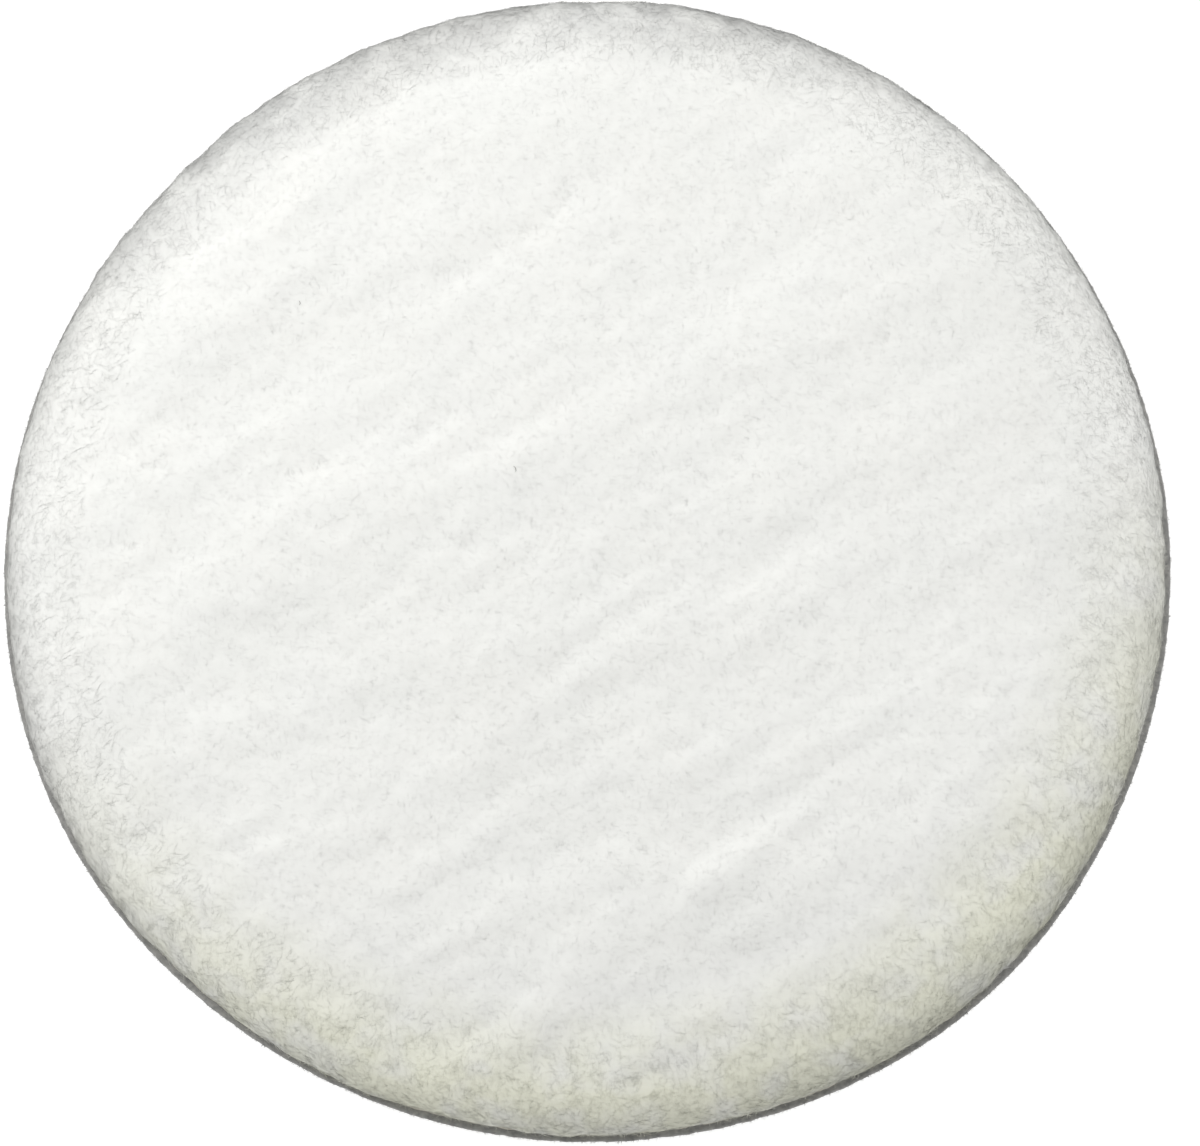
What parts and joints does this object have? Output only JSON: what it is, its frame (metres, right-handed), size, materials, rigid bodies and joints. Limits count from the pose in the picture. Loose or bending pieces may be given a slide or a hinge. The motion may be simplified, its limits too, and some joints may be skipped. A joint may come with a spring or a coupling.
{
  "type": "felt polishing wheel",
  "caption": "Face-on felt polishing wheel: a thick soft white felt disc with a rounded shoulder, on a cloth loop back that grips a hook-faced backing pad.",
  "frame": {"origin": "middle of the back face of the loop cloth, on the spin axis", "axes": "+Z is the spin axis, out of the back and through the working face; the wheel is round about it, so +X and +Y are any two directions across the face"},
  "size_m": [0.15, 0.15, 0.013],
  "materials": {
    "felt": "soft white needled felt with a short raised nap",
    "scrim": "open-weave natural cotton",
    "glue": "thin translucent hot-melt film",
    "loop_cloth": "grey brushed-loop cloth"
  },
  "bodies": {
    "root": {"felt_pad": "felt", "woven_scrim": "scrim", "glue_film": "glue", "loop_backing": "loop_cloth"}
  },
  "joints": []
}
